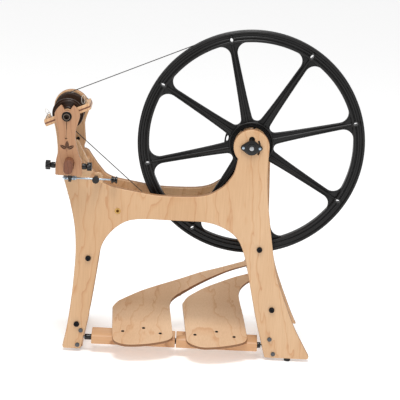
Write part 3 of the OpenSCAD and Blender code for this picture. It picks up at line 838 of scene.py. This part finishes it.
@dataclass(frozen=True)
class Treadle:
    """One bent plywood foot plate on its bar."""

    side: Side
    screws_at: tuple[tuple[float, float], ...]
    top_y: float = 14.0
    top_z: float = 66.0
    slope: float = 8.0
    arm_slope: float = 38.0
    bend_y: float = 125.0
    bend_r: float = 160.0
    round_over: float = 1.6
    screw_side: tuple[tuple[float, float], ...] = (
        (0, -6), (2.4, -6), (2.4, -2), (4.6, 0.2), (4.4, 1.0), (3.4, 1.5), (1.9, 1.7), (1.7, 0.5),
        (0, 0.5),
    )

    def depth(self, place: Vector) -> float:
        """Depth below the plate's upper face, through the plies.

        Args:
            place: A place on the plate, in millimetres.

        Returns:
            The depth in millimetres.
        """
        slope, arm = math.radians(self.slope), math.radians(self.arm_slope)
        bend = Vector((self.bend_y, self.top_z + math.tan(slope) * (self.bend_y - self.top_y)))
        centre = bend + self.bend_r * Vector((-math.sin(slope), math.cos(slope)))
        off = Vector((place.y, place.z)) - centre
        lean = math.atan2(off.x, -off.y)
        lean = min(max(lean, slope), arm)
        return off.dot(Vector((math.sin(lean), -math.cos(lean)))) - self.bend_r

    def build(self) -> None:
        """Makes the plate and its bar."""
        node = "treadle_plate_" + self.side.word
        bm = merged_copy(node)
        roll(bm, self.round_over)
        set_plies(bm, self.depth, lambda normal: abs(normal.z) < 0.45)
        weigh_normals(settle(bm, node + "_wood", node, [TREADLE_MAPLE_LIT, TREADLE_EDGE_SHADED]))
        Board("treadle_bar_" + self.side.word, BAR_MAPLE, None, self.round_over).build()
        self.screws()

    def screws(self) -> None:
        """Three domed screw heads in the foot plate."""
        heads = []
        for x, y in self.screws_at:
            head = lathe(self.screw_side, 28)
            top = self.top_z + math.tan(math.radians(self.slope)) * (y - self.top_y)
            lean = Matrix.Rotation(math.radians(self.slope), 4, "X")
            head.transform(Matrix.Translation((x, y, top)) @ lean)
            heads.append(head)
        node = "treadle_screws_" + self.side.word
        settle(joined(heads), node + "_domed", node, [BLACK_OXIDE])


# ---------- drive wheel ----------


@dataclass
class DriveWheel:
    """The moulded wheel: ridged rim, eight ribbed spokes and an open hub."""

    spokes: int = 8
    first_spoke: float = 13.7
    fillet_centre: tuple[float, float] = (244.3, 36.2)
    fillet: float = 27.0
    heel_centre: tuple[float, float] = (70.2, 29.0)
    heel: float = 14.0
    hole_r: float = 284.0
    eye_half: tuple[float, float] = (6.9, 4.1)
    lug_angle: float = 171.2
    rim_side: tuple[tuple[float, float], ...] = (
        (274.0, 8.5), (274.6, 11.4), (276.2, 13.3), (278.6, 14.0), (281.0, 13.3), (282.3, 11.6),
        (283.2, 9.6), (284.4, 9.6), (285.4, 11.4), (287.0, 12.6), (289.0, 12.6), (290.4, 11.4),
        (291.4, 8.8), (296.4, 8.8), (297.6, 11.8), (299.2, 13.5), (301.6, 14.0), (303.8, 13.0),
        (305.0, 10.6), (305.0, 4.6), (301.2, 2.2),
    )
    hub_side: tuple[tuple[float, float], ...] = (
        (45.0, 12.5), (45.8, 14.8), (47.6, 15.6), (50.4, 15.4), (52.0, 13.0), (53.6, 12.8),
        (54.8, 15.6), (56.2, 17.4), (58.2, 17.6), (60.0, 16.0), (60.6, 12.0),
    )

    def angles(self, shift: float = 0.0) -> list[float]:
        """Angles of the spokes in degrees, with a shift in parts of the step."""
        return [self.first_spoke + (i + shift) * 360 / self.spokes for i in range(self.spokes)]

    def on_axle(self, bm: bmesh.types.BMesh) -> bmesh.types.BMesh:
        """Stands a shape that was drawn about Z on the axle."""
        bm.transform(Matrix.Translation((AXLE.x, WHEEL_Y, AXLE.z)) @ UPRIGHT)
        return bm

    def rim(self) -> None:
        """The ridged rim with the band's groove and an oval eye at the end of each spoke."""
        side = list(self.rim_side)
        profile = side + [(300.0, 0.0)] + [(r, -z) for r, z in reversed(side)]
        ring = lathe(profile, steps=160)
        eyes = oval(*self.eye_half, 60.0)
        eyes.transform(Matrix.Translation((self.hole_r, 0, 0)))
        ring = cut(ring, copies_round(eyes, self.angles()))
        side = [(4, -11), (4.3, 12.4), (5.2, 13.4), (6.4, 13.2), (7.4, 11.6), (7.6, 8), (7.6, -11)]
        boss = lathe(side, 40)
        longer = Matrix.Diagonal((1.62, 1.0, 1.0, 1.0))
        boss.transform(Matrix.Translation((self.hole_r, 0, 0)) @ longer)
        back = boss.copy()
        back.transform(Matrix.Diagonal((1.0, 1.0, -1.0, 1.0)))
        bmesh.ops.reverse_faces(back, faces=back.faces)
        whole = joined([ring, copies_round(boss, self.angles()), copies_round(back, self.angles())])
        settle(self.on_axle(whole), "rim_moulding", "wheel_rim", [WHEEL_NYLON], sharp=50)

    def spoke_edge(self) -> list[tuple[float, float]]:
        """One spoke's outline, from its heel at the hub to its toe at the rim.

        Returns:
            Distances along the spoke, with its half width at each.
        """
        heel = arc(self.heel_centre, self.heel, (203, 211, 220, 230, 240, 255, 270))
        shaft = [(84, 14.0), (100, 13.1), (130, 11.9), (165, 10.9), (205, 9.9)]
        toe_angles = (-90, -76, -63, -52, -42, -33, -24, -15, -6, 0)
        toe = arc(self.fillet_centre, self.fillet, toe_angles)
        return [(49, 20.2), *heel, *shaft, *toe, (277, 42)]

    def spoke(self) -> bmesh.types.BMesh:
        """One spoke along X: flat edges, a channel and a rounded ridge down its middle.

        Returns:
            The spoke's mesh.
        """
        edge = self.spoke_edge()
        section = [(0, 0.0), (0, 4.4), (0.9, 5.5), (3.0, 5.6), (4.1, 4.3)]
        ridge = [(3.8, 4.2), (2.9, 7.0), (1.5, 8.6), (0.0, 9.0)]
        columns = 2 * (len(section) + len(ridge)) - 1
        bm = bmesh.new()
        bmesh.ops.create_grid(bm, x_segments=len(edge) - 1, y_segments=columns - 1, size=1.0)
        ordered = sorted(bm.verts, key=lambda v: (round(v.co.x, 5), round(v.co.y, 5)))
        for i, (along, wide) in enumerate(edge):
            lift = 1 + 0.3 * max(0.0, 1 - (along - 49) / 110)
            left = [(-(wide - d), h) for d, h in section] + [(-d, h * lift) for d, h in ridge]
            across = left + [(-x, h) for x, h in reversed(left[:-1])]
            for vert, (place, height) in zip(ordered[i * columns : (i + 1) * columns], across):
                vert.co = (along, place, height)
        every = bm.verts[:] + bm.edges[:] + bm.faces[:]
        bmesh.ops.mirror(bm, geom=every, axis="Z", merge_dist=0.01)
        bmesh.ops.remove_doubles(bm, verts=bm.verts, dist=0.005)
        bmesh.ops.holes_fill(bm, edges=bm.edges)
        bmesh.ops.recalc_face_normals(bm, faces=bm.faces)
        return bm

    def spoke_set(self) -> None:
        """All the spokes, with the small pierced lug between two of them."""
        side = [(57, -4.2), (57, 4.2), (71.2, 4.2), (72.4, 3), (72.4, -3), (71.2, -4.2)]
        lug = lathe(side, 14, math.radians(34))
        lug.transform(Matrix.Rotation(math.radians(-17), 4, "Z"))
        eye = oval(2.9, 8.2, 30.0)
        eye.transform(Matrix.Translation((65.4, 0, 0)))
        lug = cut(lug, eye)
        lug.transform(Matrix.Rotation(math.radians(self.lug_angle), 4, "Z"))
        whole = self.on_axle(joined([copies_round(self.spoke(), self.angles()), lug]))
        settle(whole, "spoke_moulding", "wheel_spokes", [WHEEL_NYLON], sharp=50)

    def hub(self) -> None:
        """A ringed hub: outer ring, ribs between the spokes and a stepped core on the axle."""
        ring = lathe(mirrored(self.hub_side), 112)
        core_side = [(6.2, 17), (9, 18), (12, 18), (13, 14.5), (19, 13.5), (22.5, 12), (24, 9)]
        core = lathe(mirrored(core_side), 64)
        rib = bmesh.new()
        bmesh.ops.create_cube(rib, size=1.0)
        rib.transform(Matrix.Translation((34.5, 0, 0)) @ Matrix.Diagonal((25.0, 5.6, 22.0, 1.0)))
        roll(rib, 1.4, 2.0, 2)
        whole = joined([ring, core, copies_round(rib, self.angles(0.5))])
        settle(self.on_axle(whole), "hub_moulding", "wheel_hub", [WHEEL_NYLON], sharp=50)

    def build(self) -> None:
        """Makes the wheel's three mouldings."""
        self.rim()
        self.spoke_set()
        self.hub()


# ---------- footmen, flyer and band ----------


@dataclass(frozen=True)
class Footman:
    """A wooden strap on a crank pin, with a bent steel rod down to the treadle."""

    side: Side
    foot: tuple[float, float, float]
    rise: float
    knee: tuple[float, float, float]
    rod_r: float = 3.5
    eye_r: float = 6.2
    eye_wire: tuple[float, float] = (1.9, 2.9)
    tuck: float = 44.0

    def build(self) -> None:
        """Makes the strap, the rod and the rod's eye."""
        Board("footman_strap_" + self.side.word, SMALL_MAPLE, None, 1.2, 2.0).build()
        foot, knee = Vector(self.foot), Vector(self.knee)
        ankle = foot + Vector((0, 0, self.rise))
        top = knee + Vector((0, 0, self.tuck))
        line = bent_line([top, knee, ankle, foot + Vector((0, 0, self.eye_r))], 16)
        shank = wire(line, self.rod_r)
        wide, deep = self.eye_wire
        turns = [a * TAU / 12 for a in range(12)]
        eye = lathe([(self.eye_r + wide * math.cos(a), deep * math.sin(a)) for a in turns], 40)
        eye.transform(Matrix.Translation(foot) @ UPRIGHT)
        name, node = "footman_rod_bent_" + self.side.word, "footman_rod_" + self.side.word
        settle(joined([shank, eye]), name, node, [STEEL])


@dataclass
class Flyer:
    """The flyer's laminated yoke, its wire hooks, the whorl and the bobbin."""

    turn: float = 24.0
    arm_x: float = 58.0
    hook_y: tuple[float, float] = (-20.0, 22.0)
    hook_tall: float = 18.0
    hook_r: float = 3.6
    # Where the pale loops of painted highlight stand, beside the outer hooks.
    highlight_at: tuple[float, float, float] = (47.0, -22.0, 10.0)
    stripe: float = 2.0
    bobbin_y: float = 7.0

    def place(self) -> Matrix:
        """Brings the flyer's own frame to its axis and its turn."""
        turned = Matrix.Rotation(math.radians(-self.turn), 4, "Y")
        return Matrix.Translation((FLYER.x, 0, FLYER.z)) @ turned

    def yoke(self) -> None:
        """Maple, walnut and maple glued flat, then rounded."""
        bm = merged_copy("flyer_yoke")
        bm.transform(self.place().inverted())
        roll(bm, 1.8, 2.4)
        for height in (-self.stripe, self.stripe):
            every = bm.verts[:] + bm.edges[:] + bm.faces[:]
            bmesh.ops.bisect_plane(bm, geom=every, plane_co=(0, 0, height), plane_no=(0, 0, 1))
        for face in bm.faces:
            face.material_index = 1 if abs(face.calc_center_median().z) < self.stripe else 0
        bm.transform(self.place())
        settle(bm, "yoke_laminated", "flyer_yoke", [HEAD_MAPLE, WALNUT])

    def hooks(self) -> None:
        """Wire hooks, with a pale loop by each outer pair as the hooks' painted highlight."""
        wires, highlight_rings = [], []
        tall, bend = self.hook_tall, self.hook_r
        out, front, up = self.highlight_at
        for side in (-1, 1):
            for y in self.hook_y:
                foot = Vector((side * self.arm_x, y, -8))
                line = [foot, foot + Vector((0, 0, tall))]
                line += [
                    foot + Vector((-side * bend * (1 - math.cos(a)), 0, tall + bend * math.sin(a)))
                    for a in [math.radians(k) for k in range(20, 281, 20)]
                ]
                wires.append(wire(line, 0.9, sides=2))
            # Each pale loop stands where the outer hooks' highlight falls: painted highlight.
            lean = Matrix.Rotation(math.radians(24 if side > 0 else -8), 4, "Y")
            turned = Matrix.Translation((side * out, front, up)) @ lean
            ring = [
                Vector((4.2 * math.sin(a), 0.8 * math.cos(a), 11 - 12 * math.cos(a)))
                for a in [math.radians(k) for k in range(20, 341, 20)]
            ]
            highlight_rings.append(wire([turned @ p for p in ring], 0.65, sides=2))
        hooks = joined(wires)
        hooks.transform(self.place())
        settle(hooks, "hook_wires", "flyer_hooks", [WIRE])
        highlight_clips = joined(highlight_rings)
        highlight_clips.transform(self.place())
        settle(highlight_clips, "hook_loops", "flyer_hooks", [HOOK_HIGHLIGHT_PALE])

    def on_shaft(self, bm: bmesh.types.BMesh, y: float) -> bmesh.types.BMesh:
        """Stands a turned shape on the flyer's shaft at y."""
        bm.transform(Matrix.Translation((FLYER.x, y, FLYER.z)) @ UPRIGHT)
        return bm

    def whorl(self) -> None:
        """The grooved whorl, with rings turned in its face."""
        profile = [
            (4.6, -9), (13, -9), (13.8, -8), (29, -8), (30, -6.6), (40.4, -6.8), (41.5, -5.6),
            (41.5, -4.6), (37.6, -1.6), (37.2, 0), (37.6, 1.6), (41.5, 4.6), (41.5, 5.6), (40.6, 7),
            (37, 7), (36.2, 5.8), (33.4, 5.8), (32.6, 7), (29.2, 7), (28.4, 5), (16, 5),
            (15, 6.4), (14, 11), (4.6, 11),
        ]
        bm = self.on_shaft(lathe(profile, 112), WHEEL_Y)
        settle(bm, "whorl_turned", "whorl", [SPOOL_PLASTIC], sharp=35)

    def bobbin(self) -> None:
        """The bobbin: two ringed flanges on a core."""
        front = [
            (4.6, 37.5), (10, 37.5), (11, 36.4), (17.2, 36.4), (18, 35.4), (18.2, 33.6), (19, 33),
            (30.4, 33), (31, 34), (31.8, 35.6), (34.8, 35.8), (35.8, 34.4), (36.6, 33.6),
            (40, 34.4), (41.2, 33.6), (41.5, 31.6), (41.2, 30.2), (40, 29.8), (36, 30.6),
            (16, 30.6), (13, 28),
        ]
        back = [
            (13, -28), (16, -31), (38, -31), (40.6, -31.4), (41.5, -32.6), (41.4, -34.6),
            (40, -35.8), (34, -36), (33, -35), (20, -35), (18, -36), (4.6, -36),
        ]
        bm = self.on_shaft(lathe(front + back, 112), self.bobbin_y)
        settle(bm, "bobbin_turned", "bobbin", [SPOOL_PLASTIC], sharp=35)

    def build(self) -> None:
        """Makes the flyer and the bobbin."""
        self.yoke()
        self.hooks()
        self.whorl()
        self.bobbin()


@dataclass
class DriveBand:
    """The round cord in the two grooves."""

    wheel_r: float = 301.5
    whorl_r: float = 38.5
    cord_r: float = 1.2

    def build(self) -> None:
        """Makes the cord, which gives between the frame and the sliding head."""
        apart = Vector((FLYER.x - AXLE.x, FLYER.z - AXLE.z))
        lean = math.atan2(apart.y, apart.x)
        tangent = math.acos((self.wheel_r - self.whorl_r) / apart.length)
        line = []
        for centre, radius, start, sweep, steps in (
            (AXLE, self.wheel_r, lean + tangent, TAU - 2 * tangent, 120),
            (FLYER, self.whorl_r, lean - tangent, 2 * tangent, 30),
        ):
            for i in range(steps + 1):
                a = start + sweep * i / steps
                x, z = centre.x + radius * math.cos(a), centre.z + radius * math.sin(a)
                line.append(Vector((x, WHEEL_Y, z)))
        bm = wire(line, self.cord_r, closed=True, sides=2)
        piece = settle(bm, "drive_cord", "drive_band", [BAND_CORD])
        piece.parent = None
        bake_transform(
            piece,
            "frame",
            "head",
            start=TO_ROW @ Vector((AXLE.x - 320, WHEEL_Y, AXLE.z)),
            end=TO_ROW @ Vector((FLYER.x + 38, WHEEL_Y, AXLE.z)),
        )


# ---------- flyer head ----------


@dataclass
class FlyerHead:
    """The sliding block, the maidens, their bar and the small fittings."""

    leaf_at: tuple[float, float] = (-485.0, 583.0)
    leaf_wide: float = 4.2
    maiden_face: float = -62.0
    slit: tuple[float, float] = (596.0, 662.0)
    bar_z: float = 537.0
    knob_y: float = -55.0
    maiden_edges: tuple[float, float] = (-514.0, -445.0)
    rod: tuple[float, float] = (-18.0, 495.0)
    rod_x: float = -498.0
    collars_x: tuple[float, float] = (-495.0, -473.5)
    spool_x: float = -368.0

    def at_slit(self, place: Vector) -> bool:
        """Whether a place is on the thin saw cut under the orifice, which stays sharp."""
        return abs(place.x - FLYER.x) < 6 and self.slit[0] < place.z < self.slit[1]

    def leaf(self) -> None:
        """A plain scorched sprig of three leaves on the front maiden."""
        parts = []
        for lean, length in ((-62, 19.0), (0, 21.0), (62, 19.0)):
            for side in (-1, 1):
                half = bmesh.new()
                bmesh.ops.create_grid(half, x_segments=20, y_segments=4, size=1.0)
                for vert in half.verts:
                    along, across = vert.co.x, (vert.co.y + 1) / 2
                    swell = self.leaf_wide * (1 - along * along) ** 0.8 * (1 - 0.25 * along)
                    vert.co = (2 + (along + 1) * length / 2, side * (0.35 + across * swell), 0)
                bmesh.ops.remove_doubles(half, verts=half.verts, dist=0.01)
                half.transform(Matrix.Rotation(math.radians(90 + lean), 4, "Z"))
                parts.append(half)
        stalk = bmesh.new()
        bmesh.ops.create_grid(stalk, x_segments=1, y_segments=2, size=0.5)
        stalk.transform(Matrix.Translation((0, -3, 0)) @ Matrix.Diagonal((0.9, 8, 1, 1)))
        parts.append(stalk)
        bm = joined(parts)
        bmesh.ops.recalc_face_normals(bm, faces=bm.faces)
        bmesh.ops.solidify(bm, geom=bm.faces[:], thickness=0.25)
        bmesh.ops.recalc_face_normals(bm, faces=bm.faces)
        bm.transform(
            Matrix.Translation((self.leaf_at[0], self.maiden_face - 0.02, self.leaf_at[1]))
            @ UPRIGHT
        )
        settle(bm, "scorched_leaf", "front_maiden", [SCORCH], replaced=("front_maiden",))

    def bearing(self) -> None:
        """The orifice bearing: a black ring with a lipped face."""
        profile = [
            (9.1, -14), (9.1, 1.2), (9.6, 2.0), (10.2, 2.0), (10.8, 1.2), (11.6, 2.0), (12.6, 2.0),
            (13.2, 1.2), (13.2, 0), (13, 0), (13, -14),
        ]
        bm = lathe(profile, 64)
        bm.transform(Matrix.Translation((FLYER.x, self.maiden_face, FLYER.z)) @ UPRIGHT)
        settle(bm, "orifice_ring", "orifice_bearing", [BLACK_NYLON])

    def lock_knob(self, side: Side, edge: float) -> None:
        """A star knob with a thick collar against the maiden's edge.

        Args:
            side: The side of the maiden it stands at.
            edge: X of the maiden's edge.
        """
        body = lathe([
            (0, -18), (3, -18), (3, 0.6), (7.2, 0.8), (8.2, 1.8), (8.2, 10.4), (7.4, 11.6),
            (6.2, 12.4), (6.6, 13.2), (9.2, 14), (10, 15), (10, 24.6), (9, 26), (7, 26.6),
            (3.6, 26.6), (3, 25.6), (0, 25.6),
        ], 48)
        lobe = lathe([(0, 13.6), (2.4, 13.6), (3.3, 14.6), (3.3, 25), (2.4, 26.2), (0, 26.2)], 20)
        lobe.transform(Matrix.Translation((9.1, 0, 0)))
        knob = joined([body, copies_round(lobe, [15 + 60 * i for i in range(6)])])
        outwards = Matrix.Rotation(side.value * math.pi / 2, 4, "Y")
        knob.transform(Matrix.Translation((edge, self.knob_y, self.bar_z)) @ outwards)
        node = "lock_knob_" + side.word
        settle(knob, node + "_star", node, [BLACK_NYLON])

    def tension(self) -> None:
        """The rod's two collars with their set screws, and its spool-shaped knob."""
        along = Matrix.Rotation(math.pi / 2, 4, "Y")
        rings, sockets = [], []
        for x in self.collars_x:
            side = [(2.3, 0), (4.9, 0), (5.5, 0.6), (5.5, 11.9), (4.9, 12.5), (2.3, 12.5)]
            ring = lathe(side, 40)
            ring.transform(Matrix.Translation((x, *self.rod)) @ along)
            rings.append(ring)
            socket = lathe([(0, 0), (2.9, 0), (2.9, 1.2), (2.2, 1.5), (1.6, 0.6), (0, 0.6)], 24)
            front = Matrix.Translation((x + 6.2, self.rod[0] - 4.6, self.rod[1]))
            socket.transform(front @ UPRIGHT)
            sockets.append(socket)
        for socket in sockets:
            for face in socket.faces:
                face.material_index = 1
        settle(joined(rings + sockets), "rod_collar_pair", "rod_collars", [ZINC, BLACK_OXIDE])
        rod = lathe([(0, 0), (1.9, 0), (2.3, 0.5), (2.3, 139.5), (1.9, 140), (0, 140)], 32)
        rod.transform(Matrix.Translation((self.rod_x, *self.rod)) @ along)
        settle(rod, "tension_rod_drawn", "tension_rod", [ZINC])
        knob = lathe([
            (0, 0), (8.4, 0), (9.5, 1), (9.5, 3.4), (8.2, 4.6), (7, 6), (7, 10), (8.2, 11.4),
            (9.5, 12.6), (9.5, 15), (8.4, 16), (4, 16), (3.4, 15), (0, 15),
        ], 48)
        knob.transform(Matrix.Translation((self.spool_x, *self.rod)) @ along)
        settle(knob, "tension_knob_spool", "tension_knob", [BLACK_NYLON])

    def build(self) -> None:
        """Makes the head's wooden pieces and fittings."""
        Board("head_block", SMALL_MAPLE, None, 1.5, 2.4).build()
        Board("rear_maiden", HEAD_MAPLE, PLY_EDGE, 2.4, 2.2).build()
        Board("front_maiden", PINK_MAPLE, None, 2.2, 2.4).build(self.at_slit)
        Board("maiden_bar", WALNUT, None, 1.4, 1.0).build()
        self.leaf()
        self.bearing()
        for side, edge in zip(Side, self.maiden_edges):
            self.lock_knob(side, edge)
        self.tension()


@dataclass(frozen=True)
class Fitting:
    """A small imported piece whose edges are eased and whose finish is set."""

    node: str
    finish: Finish
    ease: float = 0.5
    longer: float = 0.9

    def build(self) -> None:
        """Makes the piece."""
        bm = merged_copy(self.node)
        roll(bm, self.ease, self.longer, 2)
        settle(bm, self.node + "_finished", self.node, [self.finish])


FITTINGS = (
    Fitting("panel_screws", BLACK_OXIDE, 0.35, 0.5),
    Fitting("foot_bolts", GREY_BOLT, 0.35, 0.5),
    Fitting("rubber_feet", FOOT_RUBBER, 0.6, 0.9),
    Fitting("accessory_insert", BRASS, 0.25, 0.7),
    Fitting("axle_bearing_front", BLACK_NYLON, 0.9, 1.2),
    Fitting("axle_bearing_rear", BLACK_NYLON, 0.9, 1.2),
    Fitting("bearing_screws", ZINC, 0.3, 0.4),
    Fitting("treadle_pivot_rod", STEEL, 0.2, 0.4),
    Fitting("pivot_bushes", BLACK_NYLON, 0.4, 0.9),
    Fitting("tension_trunnion", BLACK_NYLON, 0.5, 0.9),
    Fitting("axle", STEEL, 0.6, 0.7),
    Fitting("crank_webs", STEEL, 0.6, 1.2),
    Fitting("crank_pins", STEEL, 0.4, 0.6),
    Fitting("treadle_stud_left", STEEL, 0.3, 0.35),
    Fitting("treadle_stud_right", STEEL, 0.3, 0.35),
    Fitting("flyer_bearing", BLACK_NYLON, 0.3, 1.0),
    Fitting("maiden_screws", BLACK_OXIDE, 0.3, 0.5),
    Fitting("tension_post", BLACK_NYLON, 0.6, 2.0),
    Fitting("orifice_tube", WORN_STEEL, 0.3, 0.8),
    Fitting("flyer_shaft", STEEL, 0.3, 0.5),
)


# ---------- studio ----------


@dataclass
class Studio:
    """A pale floor, soft light and the camera."""

    azimuth: float = -0.321
    elevation: float = 14.906
    tilt: float = 2.898
    distance: float = 4516.7
    target: tuple[float, float, float] = (-129.6, 54.0, 432.2)
    lens: float = 150.0

    def camera(self) -> None:
        """A long lens a few steps away, leaning a little."""
        az, el, lean = (math.radians(a) for a in (self.azimuth, self.elevation, self.tilt))
        back = Vector((math.sin(az) * math.cos(el), -math.cos(az) * math.cos(el), math.sin(el)))
        right = Vector((math.cos(az), math.sin(az), 0.0))
        up = right.cross(-back)
        cos, sin = math.cos(lean), math.sin(lean)
        right, up = right * cos + up * sin, up * cos - right * sin
        data = bpy.data.cameras.new("studio_camera")
        data.lens = self.lens
        data.sensor_width = 36.0
        data.clip_end = 100.0
        camera = stand("studio_camera", data)
        place = TO_ROW @ (Vector(self.target) + self.distance * back)
        turned = Matrix((right, up, back)).transposed().to_4x4()
        camera.matrix_world = Matrix.Translation(place) @ turned
        bpy.context.scene.camera = camera

    def lamp(self, name: str, place: tuple[float, float, float], size: float, power: float) -> None:
        """Adds one soft box that faces the wheel.

        Args:
            name: The lamp's name.
            place: Where it hangs, in metres.
            size: Its width in metres.
            power: Its power in watts.
        """
        data = bpy.data.lights.new(name, "AREA")
        data.shape = "SQUARE"
        data.size = size
        data.energy = power
        lamp = stand(name, data)
        lamp.location = place
        aim = Vector((0.0, 0.0, 0.45)) - Vector(place)
        lamp.rotation_euler = aim.to_track_quat("-Z", "Y").to_euler()

    def floor(self) -> None:
        """A broad plain floor, almost white."""
        bm = bmesh.new()
        bmesh.ops.create_grid(bm, x_segments=1, y_segments=1, size=60.0)
        mesh = bpy.data.meshes.new("studio_floor")
        bm.to_mesh(mesh)
        bm.free()
        material = bpy.data.materials.new("paper_backdrop")
        material.use_nodes = True
        shader = material.node_tree.nodes["Principled BSDF"]
        shader.inputs["Base Color"].default_value = linear("#F6F6F6")
        shader.inputs["Roughness"].default_value = 0.9
        shader.inputs["Specular IOR Level"].default_value = 0.1
        shader.inputs["Emission Color"].default_value = (1.0, 1.0, 1.0, 1.0)
        shader.inputs["Emission Strength"].default_value = 0.32
        mesh.materials.append(material)
        floor = stand("studio_floor", mesh)

    def build(self) -> None:
        """Sets the stage."""
        self.camera()
        self.floor()
        self.lamp("key_box", (-0.2, -1.3, 3.6), 1.3, 80.0)
        self.lamp("fill_box", (2.8, -2.4, 1.8), 2.6, 8.0)
        world = bpy.data.worlds.new("studio_world")
        world.use_nodes = True
        sky = world.node_tree.nodes["Background"]
        sky.inputs["Color"].default_value = (1.0, 1.0, 1.0, 1.0)
        sky.inputs["Strength"].default_value = 0.64
        bpy.context.scene.world = world
        bpy.context.scene.view_settings.view_transform = "Standard"


def main() -> None:
    """Builds every sub-assembly in order."""
    logging.basicConfig(level=logging.INFO, format="%(message)s")
    Studio().build()
    SidePanels().build()
    Treadle(Side.LEFT, ((-323, 2), (-267, 26), (-220, -1))).build()
    Treadle(Side.RIGHT, ((-125, 1), (-66, 25), (-18, -1))).build()
    DriveWheel().build()
    Footman(Side.LEFT, (17, 346, 176), 200, (-23, 182, 443)).build()
    Footman(Side.RIGHT, (62, 334, 155), 110, (57, 154, 343)).build()
    FlyerHead().build()
    Flyer().build()
    DriveBand().build()
    for fitting in FITTINGS:
        fitting.build()


if __name__ == "__main__":
    main()
